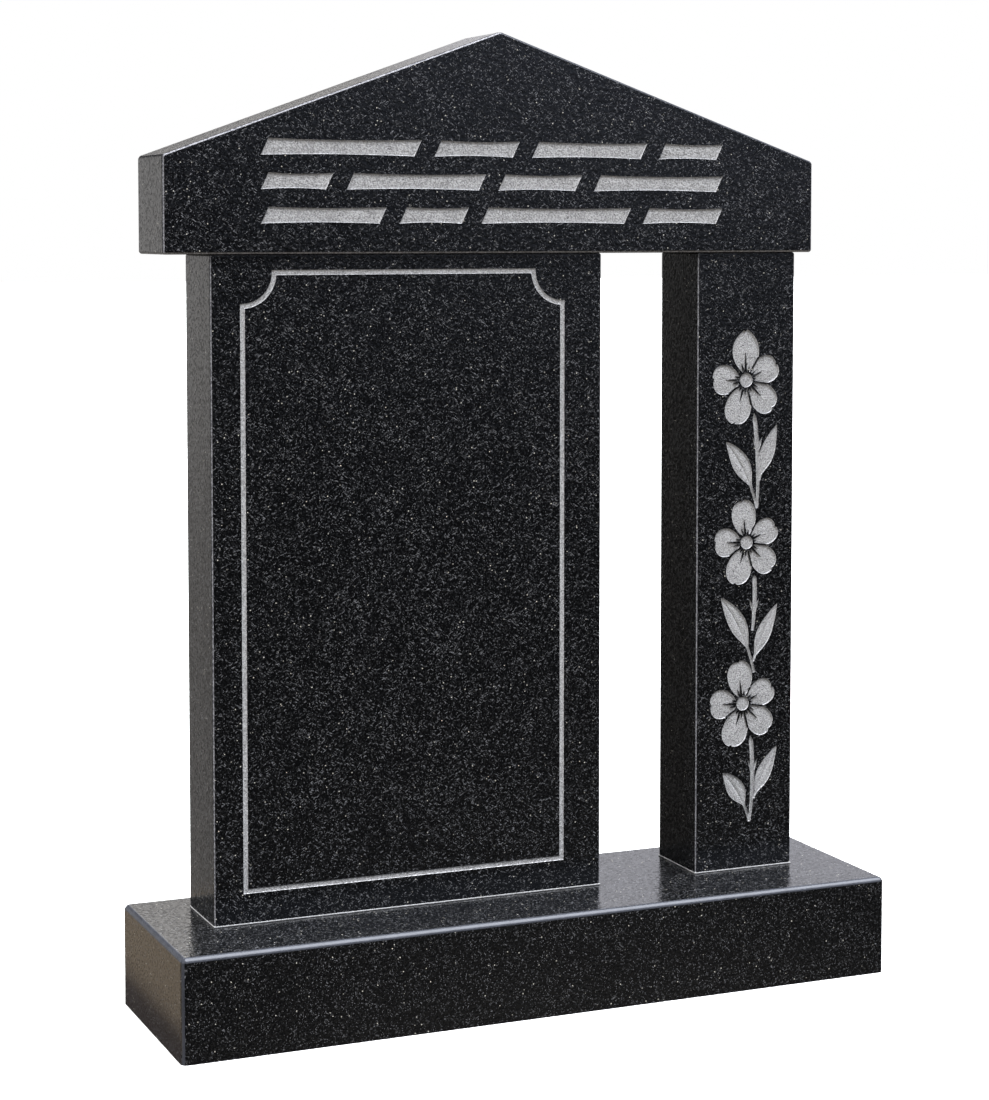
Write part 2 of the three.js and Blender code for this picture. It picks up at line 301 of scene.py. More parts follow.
def make_camera():
    data = bpy.data.cameras.new("camera")
    data.lens = LENS
    data.sensor_width = SENSOR_WIDTH
    data.shift_y = LENS_SHIFT
    camera = bpy.data.objects.new("camera", data)
    camera.location = CAMERA_PLACE
    camera.rotation_euler = (math.pi / 2 - CAMERA_DIP, 0, -CAMERA_TURN)
    bpy.context.scene.collection.objects.link(camera)
    bpy.context.scene.camera = camera


# Node building

class Field:
    """A value in a node tree. Arithmetic on it adds math nodes."""

    def __init__(self, tree, socket):
        self.tree = tree
        self.socket = socket

    def math(self, operation, *others):
        node = self.tree.nodes.new("ShaderNodeMath")
        node.operation = operation
        for entry, value in zip(node.inputs, (self, *others)):
            feed(self.tree, entry, value)
        return Field(self.tree, node.outputs[0])

    def __add__(self, other):
        return self.math("ADD", other)

    def __radd__(self, other):
        return self.math("ADD", other)

    def __sub__(self, other):
        return self.math("SUBTRACT", other)

    def __rsub__(self, other):
        return (self * -1) + other

    def __mul__(self, other):
        return self.math("MULTIPLY", other)

    def __rmul__(self, other):
        return self.math("MULTIPLY", other)

    def __truediv__(self, other):
        return self.math("DIVIDE", other)

    def __pow__(self, other):
        return self.math("POWER", other)

    def least(self, other):
        return self.math("MINIMUM", other)

    def most(self, other):
        return self.math("MAXIMUM", other)


def feed(tree, entry, value):
    """Links a field or a socket to an entry, or writes a plain value on it."""
    if isinstance(value, Field):
        value = value.socket
    if isinstance(value, bpy.types.NodeSocket):
        tree.links.new(value, entry)
    else:
        entry.default_value = value


def add_node(tree, kind, settings=None, **entries):
    """A node with its settings made and its entries fed by name."""
    node = tree.nodes.new(kind)
    for name, value in (settings or {}).items():
        setattr(node, name, value)
    for name, value in entries.items():
        feed(tree, node.inputs[name.replace("_", " ")], value)
    return node


# Geometry Nodes trees that make the carving's cutters

def new_tree(name, sizes):
    """An empty tree with a geometry in and out, an input for each size, and one for a material."""
    tree = bpy.data.node_groups.new(name, "GeometryNodeTree")
    interface = tree.interface
    interface.new_socket("Geometry", in_out="INPUT", socket_type="NodeSocketGeometry")
    interface.new_socket("Geometry", in_out="OUTPUT", socket_type="NodeSocketGeometry")
    for size in sizes:
        interface.new_socket(size, in_out="INPUT", socket_type="NodeSocketFloat")
    interface.new_socket("Material", in_out="INPUT", socket_type="NodeSocketMaterial")
    inputs = tree.nodes.new("NodeGroupInput")
    fields = {size: Field(tree, inputs.outputs[size]) for size in sizes}
    return tree, inputs, fields


def split(tree, socket):
    parts = add_node(tree, "ShaderNodeSeparateXYZ", Vector=socket)
    return [Field(tree, parts.outputs[axis]) for axis in "XYZ"]


def point_place(tree):
    position = add_node(tree, "GeometryNodeInputPosition")
    return split(tree, position.outputs["Position"])


def read_number(tree, name):
    node = add_node(tree, "GeometryNodeInputNamedAttribute", Name=name)
    return Field(tree, node.outputs["Attribute"])


def read_place(tree, name):
    settings = {"data_type": "FLOAT_VECTOR"}
    node = add_node(tree, "GeometryNodeInputNamedAttribute", settings, Name=name)
    x, _, z = split(tree, node.outputs["Attribute"])
    return x, z


def one_at_each_point(tree, inputs, shape):
    """The shape once at each point that comes in, with the point's own values on it."""
    placed = add_node(tree, "GeometryNodeInstanceOnPoints",
                      Points=inputs.outputs["Geometry"], Instance=shape.outputs["Mesh"])
    solids = add_node(tree, "GeometryNodeRealizeInstances",
                      Geometry=placed.outputs["Instances"])
    return solids.outputs["Geometry"]


def unit_blocks(tree, inputs, grid):
    """A unit block at each point.

    Along the block u runs from 0 to 1, across it v runs from -1 to 1, and down into the
    stone d runs from 0 to 1.
    """
    along, across = grid
    block = add_node(tree, "GeometryNodeMeshCube",
                     Vertices_X=along, Vertices_Y=2, Vertices_Z=across)
    blocks = one_at_each_point(tree, inputs, block)
    x, y, z = point_place(tree)
    return blocks, x + 0.5, z * 2, y + 0.5


def depth_below(size, d):
    """How far below the face a cutter's point lies. It is negative before the face."""
    return d * (size["Depth"] + size["Reach"]) - size["Reach"]


def sweep(tree, inputs, section):
    """The section drawn along the path that comes in, and widened at its corners."""
    path = add_node(tree, "GeometryNodeMeshToCurve", Mesh=inputs.outputs["Geometry"])
    swept = add_node(tree, "GeometryNodeCurveToMesh", Curve=path.outputs["Curve"],
                     Profile_Curve=section.outputs["Curve"], Scale=read_number(tree, "mitre"))
    return swept.outputs["Mesh"]


def finish_tree(tree, inputs, geometry, x, y, z):
    """Puts the points at x, y, z, and gives the solids their material."""
    place = add_node(tree, "ShaderNodeCombineXYZ", X=x, Y=y, Z=z)
    bent = add_node(tree, "GeometryNodeSetPosition",
                    Geometry=geometry, Position=place.outputs["Vector"])
    whole = add_node(tree, "GeometryNodeRealizeInstances", Geometry=bent.outputs["Geometry"])
    painted = add_node(tree, "GeometryNodeSetMaterial", Geometry=whole.outputs["Geometry"],
                       Material=inputs.outputs["Material"])
    add_node(tree, "NodeGroupOutput", Geometry=painted.outputs["Geometry"])
    return tree


def stroke_tree():
    """Strokes with slanted ends and hollow long sides."""
    sizes = ["Face", "Depth", "Reach", "Draft", "Height", "Slant", "Waist", "Dish"]
    tree, inputs, size = new_tree("strokes", sizes)
    blocks, u, v, d = unit_blocks(tree, inputs, STROKE_GRID)
    up = v * 0.5 + 0.5
    below = depth_below(size, d)
    lean = size["Draft"] / size["Depth"] * below
    hollow = u * (1 - u) * 4 * size["Waist"]
    length = read_number(tree, "length")
    x = read_number(tree, "left") + u * (length - size["Slant"]) + size["Slant"] * up
    z = read_number(tree, "bottom") + hollow + up * (size["Height"] - 2 * hollow)
    dish = size["Dish"] * d * (1 - v * v)
    return finish_tree(tree, inputs, blocks, x + lean * (1 - 2 * u),
                       size["Face"] + below - dish, z + lean * (1 - 2 * up))


def petal_tree():
    """Petals whose two sides are cubic curves from the ring to a notched tip."""
    sizes = ["Face", "Depth", "Reach", "Draft", "Ring", "Foot", "Notch depth", "Notch width",
             "Crown"]
    tree, inputs, size = new_tree("petals", sizes)
    blocks, u, v, d = unit_blocks(tree, inputs, PETAL_GRID)
    rest = 1 - u
    start = rest * rest * rest
    near = 3 * (rest * rest * u)
    far = 3 * (rest * u * u)
    end = u * u * u
    reach = read_number(tree, "reach")
    half_width = read_number(tree, "half_width")
    ring = size["Ring"]
    length = reach - ring
    tip = reach - size["Notch depth"] * 0.5 * v.most(0)
    notch = end * size["Notch depth"] * (1 - v.math("ABSOLUTE"))
    outwards = (start * ring + near * (ring + length * PETAL_SHOULDER)
                + far * (ring + length * read_number(tree, "fullness")) + end * tip - notch)
    sideways = v * (start * size["Foot"] + (near + far) * half_width * PETAL_SWELL
                    + end * size["Notch width"] * 0.5)
    below = depth_below(size, d)
    lean = size["Draft"] / size["Depth"] * below
    middle = ring + length * 0.5
    outwards = middle + (outwards - middle) * (1 - lean / (length * 0.5))
    sideways = sideways * (1 - lean / half_width)
    crown = size["Crown"] * d * (1 - v * v) * (4 * u * rest)
    cosine = read_number(tree, "angle").math("COSINE")
    sine = read_number(tree, "angle").math("SINE")
    centre_x, centre_z = read_place(tree, "centre")
    scale = read_number(tree, "size")
    return finish_tree(tree, inputs, blocks,
                       centre_x + scale * (outwards * cosine - sideways * sine),
                       size["Face"] + below - crown,
                       centre_z + scale * (outwards * sine + sideways * cosine))


def blade_tree():
    """Leaves, stems, thorns and slivers, each along a curved spine."""
    sizes = ["Face", "Depth", "Reach", "Draft", "Crown", "Vein"]
    tree, inputs, size = new_tree("blades", sizes)
    blocks, u, v, d = unit_blocks(tree, inputs, BLADE_GRID)
    rest = 1 - u
    root_x, root_z = read_place(tree, "root")
    bend_x, bend_z = read_place(tree, "bend")
    tip_x, tip_z = read_place(tree, "tip")
    spine_x = rest * rest * root_x + 2 * (u * rest) * bend_x + u * u * tip_x
    spine_z = rest * rest * root_z + 2 * (u * rest) * bend_z + u * u * tip_z
    along_x = rest * (bend_x - root_x) + u * (tip_x - bend_x)
    along_z = rest * (bend_z - root_z) + u * (tip_z - bend_z)
    speed = (along_x * along_x + along_z * along_z).math("SQRT")
    neck = read_number(tree, "neck")
    blade = ((u - neck) / (1 - neck)).most(0)
    swell = (blade * math.pi).math("SINE").most(0) ** (LEAF_BULGE - LEAF_BULGE_LOSS * blade)
    taper = (read_number(tree, "stalk_start") + read_number(tree, "stalk_rise") * u).least(1)
    stalk = read_number(tree, "stalk") * taper.least(read_number(tree, "stalk_point") * rest)
    width = (read_number(tree, "half_width") * swell).most(stalk).most(THINNEST)
    slope = size["Draft"] / size["Depth"]
    reached = (width * WALL_ROOM / (slope * size["Depth"]).most(THINNEST)).least(1)
    below = d * (size["Depth"] * reached + size["Reach"]) - size["Reach"]
    side = v.math("ABSOLUTE") ** SIDE_CROWDING
    across = v.math("SIGN") * side * (width - slope * below).most(THINNEST * LEAST_FLOOR)
    ends = slope * below * (1 - 2 * u)
    puffed = size["Crown"] * (4 * side * (1 - side))
    vein = size["Vein"] * read_number(tree, "vein") * (1 - VEIN_NARROWNESS * side).most(0)
    relief = d * swell * (puffed - vein)
    return finish_tree(tree, inputs, blocks,
                       spine_x - along_z / speed * across + along_x / speed * ends,
                       size["Face"] + below - relief,
                       spine_z + along_x / speed * across + along_z / speed * ends)


def disc_tree():
    """Round sinkings with a raised dome in the middle."""
    tree, inputs, size = new_tree("discs", ["Face", "Radius", "Depth", "Reach", "Draft", "Dome"])
    drum = add_node(tree, "GeometryNodeMeshCylinder", {"fill_type": "TRIANGLE_FAN"},
                    Vertices=DISC_SIDES, Side_Segments=1, Fill_Segments=DISC_RINGS,
                    Radius=1.0, Depth=2.0)
    drums = one_at_each_point(tree, inputs, drum)
    x, y, z = point_place(tree)
    d = z * 0.5 + 0.5
    below = depth_below(size, d)
    radius = read_number(tree, "size") * size["Radius"] - size["Draft"] / size["Depth"] * below
    dome = size["Dome"] * d * (1 - (x * x + y * y))
    centre_x, centre_z = read_place(tree, "centre")
    return finish_tree(tree, inputs, drums, centre_x + x * radius,
                       size["Face"] + below - dome, centre_z + y * radius)


def groove_tree():
    """A groove along a path that is drawn flat, in X and Y, and then stood up in the face."""
    tree, inputs, size = new_tree("groove", ["Face", "Width", "Depth", "Reach", "Draft"])
    lean = size["Draft"] / size["Depth"]
    section = add_node(tree, "GeometryNodeCurvePrimitiveQuadrilateral", {"mode": "TRAPEZOID"},
                       Top_Width=size["Width"] + 2 * lean * size["Reach"],
                       Bottom_Width=size["Width"] - 2 * size["Draft"],
                       Height=size["Depth"] + size["Reach"], Offset=0.0)
    groove = sweep(tree, inputs, section)
    x, y, z = point_place(tree)
    d = z.math("SIGN") * 0.5 + 0.5
    return finish_tree(tree, inputs, groove, x, size["Face"] + depth_below(size, d), y)


def bead_tree():
    """A round bead of jointing along a path on the ground plan, at a height of its own."""
    tree, inputs, size = new_tree("bead", ["Height", "Radius"])
    section = add_node(tree, "GeometryNodeCurvePrimitiveCircle", Resolution=JOINT_SIDES,
                       Radius=size["Radius"])
    bead = sweep(tree, inputs, section)
    x, y, z = point_place(tree)
    level = size["Height"] + z / read_number(tree, "mitre")
    return finish_tree(tree, inputs, bead, x, y, level)


# Meshes: running a tree, and cutting one solid with another

def points_mesh(name, points):
    """A mesh of loose points, each with its own values. Places are x and z on the face."""
    mesh = bpy.data.meshes.new(name)
    mesh.from_pydata([(0, 0, 0)] * len(points), [], [])
    for key, value in points[0].items():
        is_place = isinstance(value, Vector)
        attribute = mesh.attributes.new(key, "FLOAT_VECTOR" if is_place else "FLOAT", "POINT")
        for spot, point in zip(attribute.data, points):
            if is_place:
                spot.vector = (point[key].x, 0, point[key].y)
            else:
                spot.value = point[key]
    return mesh


def flat_mesh(name, left, right, front, back, filled=True):
    """A rectangle on the ground plan, as one face or as its four sides."""
    mesh = bpy.data.meshes.new(name)
    corners = [(left, front, 0), (right, front, 0), (right, back, 0), (left, back, 0)]
    sides = [(0, 1), (1, 2), (2, 3), (3, 0)]
    mesh.from_pydata(corners, [] if filled else sides, [(0, 1, 2, 3)] if filled else [])
    return mesh


def mark_corners(path, corners):
    """Says how much wider a section has to be at each point of a path to keep its width."""
    mitre = path.attributes.new("mitre", "FLOAT", "POINT")
    for i, spot in enumerate(mitre.data):
        spot.value = math.sqrt(2) if i in corners else 1.0
    return path


def as_object(mesh, name):
    thing = bpy.data.objects.new(name, mesh)
    bpy.context.scene.collection.objects.link(thing)
    return thing


def evaluated_mesh(thing):
    """A plain mesh of an object as its modifiers leave it. The object is removed."""
    view = bpy.context.evaluated_depsgraph_get()
    mesh = bpy.data.meshes.new_from_object(thing.evaluated_get(view))
    bpy.data.objects.remove(thing)
    return mesh


def run_tree(tree, mesh, **sizes):
    """The closed solids that a tree makes from a mesh of points, with their faces outwards."""
    maker = as_object(mesh, tree.name)
    modifier = maker.modifiers.new("shape", "NODES")
    modifier.node_group = tree
    values = {"Material": bpy.data.materials["frosted_granite"], "Reach": CUTTER_REACH,
              "Depth": CARVING_DEPTH, "Draft": WALL_DRAFT}
    values.update({name.replace("_", " "): value for name, value in sizes.items()})
    for item in tree.interface.items_tree:
        if item.in_out == "INPUT" and item.name != "Geometry":
            modifier[item.identifier] = values[item.name]
    shaped = evaluated_mesh(maker)
    tidy = bmesh.new()
    tidy.from_mesh(shaped)
    bmesh.ops.remove_doubles(tidy, verts=tidy.verts, dist=WELD_DISTANCE)
    bmesh.ops.recalc_face_normals(tidy, faces=tidy.faces)
    tidy.to_mesh(shaped)
    tidy.free()
    return shaped


def make_cutter(tree, mesh, walls=WALL, **sizes):
    """A carving cutter. Its bottom gives the frosted ground and its sides give the walls."""
    cutter = run_tree(tree, mesh, **sizes)
    wear_materials(cutter)
    for face in cutter.polygons:
        face.material_index = FROSTED if abs(face.normal.y) > GROUND_FACING else walls
    return cutter


def wear_materials(mesh):
    mesh.materials.clear()
    for name in FINISHES:
        mesh.materials.append(bpy.data.materials[name])


def combine(operation, first, *others):
    """A solid joined with or cut by the other solids, one after another."""
    for other in others:
        worked = as_object(first, "worked")
        tool = as_object(other, "tool")
        modifier = worked.modifiers.new("combine", "BOOLEAN")
        modifier.operation = operation
        modifier.solver = "MANIFOLD"
        modifier.object = tool
        first = evaluated_mesh(worked)
        bpy.data.objects.remove(tool)
    return first


def arris_finish(normal, on_ground):
    """The finish of a part of an arris, of which only the middle is rubbed.

    On the ground stone, and on the slope that falls to the right, it is polished round instead.
    """
    middle = min(abs(normal.y), math.hypot(normal.x, normal.z)) > RUBBED_MIDDLE
    looks_up = normal.z > LOOKING_UP
    if on_ground:
        return ROUNDED if middle or looks_up else POLISHED
    if middle:
        return ROUNDED if looks_up and normal.x > 0 else ARRIS
    return POLISHED


def cut_block(outline, front, back, arris, on_ground=False):
    """A stone sawn to an outline in X and Z, with its edges rounded off."""
    block = bmesh.new()
    rows = [[block.verts.new((x, y, z)) for x, z in outline] for y in (front, back)]
    block.faces.new(rows[0])
    block.faces.new(reversed(rows[1]))
    for i in range(len(outline)):
        j = (i + 1) % len(outline)
        block.faces.new((rows[0][j], rows[0][i], rows[1][i], rows[1][j]))
    bmesh.ops.recalc_face_normals(block, faces=block.faces)
    ground = min(z for _, z in outline)
    lying = [e for e in block.edges
             if all(abs(v.co.z - ground) < GROUND_TOLERANCE for v in e.verts)]
    edges = [e for e in block.edges if not (on_ground and e in lying)]
    rounded = bmesh.ops.bevel(block, geom=edges, offset=arris, offset_type="OFFSET",
                              affect="EDGES", segments=ARRIS_STEPS, profile=ARRIS_PROFILE,
                              clamp_overlap=True)
    for face in rounded["faces"]:
        face.material_index = arris_finish(face.normal, on_ground)
    mesh = bpy.data.meshes.new("block")
    wear_materials(mesh)
    block.to_mesh(mesh)
    block.free()
    return mesh


def finish_stone(mesh, name):
    """A stone with smooth arrises and crisp carving, standing in for its CAD node."""
    mesh.name = name + "_stone"
    mesh.shade_smooth()
    mesh.set_sharp_from_angle(angle=math.radians(SHARP_ANGLE))
    stone = as_object(mesh, name + "_stone")
    modifier = stone.modifiers.new("normals", "WEIGHTED_NORMAL")
    modifier.keep_sharp = True
    stone = as_object(evaluated_mesh(stone), name + "_stone")
    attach(stone, "root")
    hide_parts(name)
    return stone


# The carving's layout on the faces

def on_pillar(spray, place):
    """A place given from a flower's middle, as a place on the pillar's face."""
    low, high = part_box("pillar")
    middle = (low.x + high.x) / 2
    return Vector((middle + spray["flower"][0] + place[0],
                   low.z + spray["flower"][1] + place[1]))


def petal_points(number):
    """The petals of one number, one on each flower. They stay clear of each other."""
    points = []
    for spray in SPRAYS:
        petal = (spray["top"], *SIDE_PETALS)[number]
        points.append({
            "centre": on_pillar(spray, (0, 0)), "size": spray["size"],
            "angle": math.radians(petal["angle"]), "reach": petal["reach"],
            "half_width": petal["half_width"], "fullness": petal["fullness"],
        })
    return points


def plain_blade(root, bend, tip, half_width, point, start=1.0, rise=0.0):
    """A blade of even or tapered width, without a leaf's swell."""
    return {
        "root": root, "bend": bend, "tip": tip, "half_width": 0.0, "neck": 0.0, "vein": 0.0,
        "stalk": half_width, "stalk_start": start, "stalk_rise": rise, "stalk_point": point,
    }


def bar_from_ring(spray, angle, length, half_width, point):
    """A bar that is left standing, from the ring outwards."""
    turn = math.radians(angle)
    ends = [on_pillar(spray, (r * spray["size"] * math.cos(turn),
                              r * spray["size"] * math.sin(turn)))
            for r in (RING_RADIUS - BAR_INSET, length)]
    return plain_blade(ends[0], (ends[0] + ends[1]) / 2, ends[1],
                       half_width * spray["size"], point)


def divider_points():
    points = []
    for spray in SPRAYS:
        petals = (spray["top"], *SIDE_PETALS)
        for petal, following in zip(petals, petals[1:] + petals[:1]):
            turn = (petal["angle"] - following["angle"]) % 360
            points.append(bar_from_ring(spray, petal["angle"] - turn / 2, DIVIDER_LENGTH,
                                        DIVIDER_WIDTH / 2, BLUNT_POINT))
    return points


def sliver_points(turn, share):
    points = []
    for spray in SPRAYS:
        for petal in (spray["top"], *SIDE_PETALS):
            length = RING_RADIUS + (petal["sliver"] - RING_RADIUS) * share
            points.append(bar_from_ring(spray, petal["angle"] + turn, length,
                                        SLIVER_WIDTH / 2, SLIVER_POINT))
    return points


def leaf_points(root_name, tip_name, leaf):
    points = []
    for spray in SPRAYS:
        root = on_pillar(spray, spray[root_name])
        tip = on_pillar(spray, spray[tip_name])
        bend = Vector((root.x + leaf["lean"] * (tip.x - root.x),
                       root.y + leaf["lift"] * (tip.y - root.y)))
        points.append({
            "root": root, "bend": bend, "tip": tip, "half_width": leaf["half_width"],
            "neck": leaf["neck"], "vein": leaf["vein"], "stalk": STALK_HALF_WIDTH,
            "stalk_start": 1.0, "stalk_rise": 0.0, "stalk_point": STALK_POINT,
        })
    return points


def stem_points():
    points = []
    for spray in SPRAYS:
        foot = on_pillar(spray, spray["stem_foot"])
        top = on_pillar(spray, STEM_TOP)
        bend = (foot + top) / 2 + Vector((spray["stem_bow"], 0))
        points.append(plain_blade(foot, bend, top, STEM_HALF_WIDTH, STEM_POINT, STEM_START,
                                  STEM_RISE))
    return points


def thorn_points(side):
    points = []
    for spray in SPRAYS:
        foot = on_pillar(spray, spray["stem_foot"])
        top = on_pillar(spray, STEM_TOP)
        share = 1 - FORK_BELOW_TOP / (top.y - foot.y)
        sag = 2 * share * (1 - share) * spray["stem_bow"]
        fork = Vector((foot.x + (top.x - foot.x) * share + sag, top.y - FORK_BELOW_TOP))
        bend = fork + Vector((side * THORN_SPREAD * THORN_BEND[0],
                              THORN_RISE * THORN_BEND[1]))
        tip = fork + Vector((side * THORN_SPREAD, THORN_RISE))
        points.append(plain_blade(fork, bend, tip, THORN_HALF_WIDTH, THORN_POINT))
    return points


def stroke_points():
    points = []
    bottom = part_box("pediment")[0].z + ROWS_BOTTOM
    for shares in STROKE_ROWS:
        cut_length = ROW_LENGTH - STROKE_GAP * (len(shares) - 1)
        left = ROW_LEFT
        for share in shares:
            length = cut_length * share / sum(shares)
            points.append({"left": left, "bottom": bottom, "length": length})
            left += length + STROKE_GAP
        bottom += STROKE_HEIGHT + ROW_GAP
    return points


def border_path():
    """The border's middle line, drawn flat, with the widening that each corner needs."""
    low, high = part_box("tablet")
    left = low.x + BORDER_LEFT_MARGIN
    right = high.x - BORDER_RIGHT_MARGIN
    bottom = low.z + BORDER_BOTTOM_MARGIN
    top = high.z - BORDER_TOP_MARGIN
    middle = (left + right) / 2
    half = []
    for i in range(SCOOP_STEPS + 1):
        turn = math.pi / 2 * i / SCOOP_STEPS
        half.append((right - SCOOP_RADIUS * math.sin(turn), top - SCOOP_RADIUS * math.cos(turn)))
    mirrored = [(2 * middle - x, z) for x, z in reversed(half)]
    path = [(left, bottom), (right, bottom), *half, *mirrored]
    corners = {0, 1, 2, 1 + len(half), 2 + len(half), len(path) - 1}
    mesh = bpy.data.meshes.new("border_path")
    edges = [(i, (i + 1) % len(path)) for i in range(len(path))]
    mesh.from_pydata([(x, z, 0) for x, z in path], edges, [])
    return mark_corners(mesh, corners)


# The four stones

def rectangle(low, high):
    return [(low.x, low.z), (high.x, low.z), (high.x, high.z), (low.x, high.z)]


def with_joint(slab, low, high):
    """A slab with the thin bead of jointing round its foot."""
    path = flat_mesh("joint_path", low.x + JOINT_INSET, high.x - JOINT_INSET,
                     low.y + JOINT_INSET, high.y - JOINT_INSET, filled=False)
    bead = run_tree(bead_tree(), mark_corners(path, range(4)), Radius=JOINT_RADIUS,
                    Height=low.z + JOINT_RADIUS)
    wear_materials(bead)
    bead.polygons.foreach_set("material_index", [JOINT] * len(bead.polygons))
    both = bmesh.new()
    both.from_mesh(slab)
    both.from_mesh(bead)
    both.to_mesh(slab)
    both.free()
    return slab


def make_base():
    low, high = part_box("base")
    return cut_block(rectangle(low, high), low.y, high.y, BASE_ARRIS, on_ground=True)


def make_tablet():
    low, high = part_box("tablet")
    slab = cut_block(rectangle(low, high), low.y, high.y, SLAB_ARRIS)
    border = make_cutter(groove_tree(), border_path(), Face=low.y, Width=BORDER_WIDTH,
                         Depth=BORDER_DEPTH)
    return with_joint(combine("DIFFERENCE", slab, border), low, high)


def make_pillar():
    low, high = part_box("pillar")
    slab = cut_block(rectangle(low, high), low.y, high.y, SLAB_ARRIS)
    petal, blade, disc = petal_tree(), blade_tree(), disc_tree()
    petals = [make_cutter(petal, points_mesh("petals", petal_points(number)), Face=low.y,
                          Ring=RING_RADIUS, Foot=PETAL_FOOT, Notch_depth=NOTCH_DEPTH,
                          Notch_width=NOTCH_WIDTH, Crown=PETAL_CROWN)
              for number in range(1 + len(SIDE_PETALS))]
    bars = [divider_points(), *(sliver_points(turn, share) for turn, share in SLIVERS)]
    standing = [make_cutter(blade, points_mesh("bars", points), POLISHED, Face=low.y,
                            Reach=BAR_REACH, Depth=BAR_DEPTH, Draft=-BAR_DRAFT, Crown=0.0,
                            Vein=0.0)
                for points in bars]
    flowers = combine("DIFFERENCE", combine("UNION", *petals), *standing)
    greenery = [leaf_points("foot", "left_tip", LEFT_LEAF),
                leaf_points("right_root", "right_tip", RIGHT_LEAF),
                stem_points(), thorn_points(-1), thorn_points(1)]
    sprigs = [make_cutter(blade, points_mesh("sprigs", points), Face=low.y,
                          Crown=LEAF_CROWN, Vein=VEIN_DEPTH)
              for points in greenery]
    middles = [{"centre": on_pillar(spray, (0, 0)), "size": spray["size"]} for spray in SPRAYS]
    discs = make_cutter(disc, points_mesh("discs", middles), Face=low.y, Radius=DISC_RADIUS,
                        Dome=DISC_DOME)
    carved = combine("DIFFERENCE", slab, flowers, discs, combine("UNION", *sprigs))
    return with_joint(carved, low, high)


def make_pediment():
    low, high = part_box("pediment")
    eaves = low.z + EAVES_HEIGHT
    ridge = high.z + RIDGE_CUT
    outline = [(low.x, low.z), (high.x, low.z), (high.x, eaves), (RIDGE_X, ridge), (low.x, eaves)]
    slab = cut_block(outline, low.y, high.y, PEDIMENT_ARRIS)
    strokes = make_cutter(stroke_tree(), points_mesh("strokes", stroke_points()), Face=low.y,
                          Height=STROKE_HEIGHT, Slant=STROKE_SLANT, Waist=STROKE_WAIST,
                          Dish=STROKE_DISH)
    return combine("DIFFERENCE", slab, strokes)


# Materials

def new_material(name):
    material = bpy.data.materials.new(name)
    material.use_nodes = True
    tree = material.node_tree
    place = add_node(tree, "ShaderNodeTexCoord").outputs["Object"]
    return tree, tree.nodes["Principled BSDF"], place


def ramp(tree, value, low, high, to_low=0.0, to_high=1.0):
    """A smooth rise from one value to another."""
    node = add_node(tree, "ShaderNodeMapRange", {"interpolation_type": "SMOOTHSTEP"},
                    Value=value, From_Min=low, From_Max=high, To_Min=to_low, To_Max=to_high)
    return Field(tree, node.outputs["Result"])


def noise(tree, place, scale, detail=2.0, roughness=0.5):
    node = add_node(tree, "ShaderNodeTexNoise", Vector=place, Scale=scale, Detail=detail,
                    Roughness=roughness)
    return Field(tree, node.outputs["Fac"])


def blend_colours(tree, amount, first, second):
    """A mix of two colours. Its entries share their names with others, so they go by number."""
    node = add_node(tree, "ShaderNodeMix", {"data_type": "RGBA"})
    feed(tree, node.inputs[0], amount)
    feed(tree, node.inputs[6], first)
    feed(tree, node.inputs[7], second)
    return node.outputs[2]


def crystals_along(tree, place, axis):
    """Slim crystals that lie about one axis, from 0 to 1, in random tones."""
    turn = Vector(axis).to_track_quat("Z", "Y").to_euler()
    laid = add_node(tree, "ShaderNodeMapping", {"vector_type": "TEXTURE"}, Vector=place,
                    Rotation=tuple(turn),
                    Scale=(CRYSTAL_WIDTH, CRYSTAL_WIDTH, CRYSTAL_LENGTH))
    cells = add_node(tree, "ShaderNodeTexVoronoi", Vector=laid.outputs["Vector"], Scale=1.0)
    tone = add_node(tree, "ShaderNodeSeparateColor", Color=cells.outputs["Color"])
    inside = ramp(tree, cells.outputs["Distance"], *CRYSTAL_EDGE)
    return inside * ramp(tree, tone.outputs["Red"], 1 - CRYSTAL_SHARE, 1.0) ** CRYSTAL_RARITY


def crystal_mass(tree, place):
    """Interlocked curly crystals in all directions, thicker in some clouds than in others."""
    swirl = add_node(tree, "ShaderNodeTexNoise", Vector=place, Scale=CURL_NOISE, Detail=0.0)
    bend = add_node(tree, "ShaderNodeVectorMath", {"operation": "SCALE"},
                    Vector=swirl.outputs["Color"], Scale=CRYSTAL_CURL)
    curled = add_node(tree, "ShaderNodeVectorMath", {"operation": "ADD"})
    feed(tree, curled.inputs[0], place)
    feed(tree, curled.inputs[1], bend.outputs["Vector"])
    place = curled.outputs["Vector"]
    total = 0
    for axis in CRYSTAL_AXES:
        total = crystals_along(tree, place, axis) + total
    return total * ramp(tree, noise(tree, place, CLOUD_NOISE), *CLOUD_RANGE)


def sparks(tree, place):
    """Rare bright grains, picked by chance and not by their place in their cells."""
    cells = add_node(tree, "ShaderNodeTexVoronoi", Vector=place, Scale=1 / SPARK_SPACING)
    luck = add_node(tree, "ShaderNodeTexWhiteNoise", Vector=cells.outputs["Color"])
    chosen = ramp(tree, luck.outputs["Value"], 1 - SPARK_SHARE,
                  1 - SPARK_SHARE * (1 - FAINT_SPARKS))
    return chosen * ramp(tree, cells.outputs["Distance"], *SPARK_EDGE)


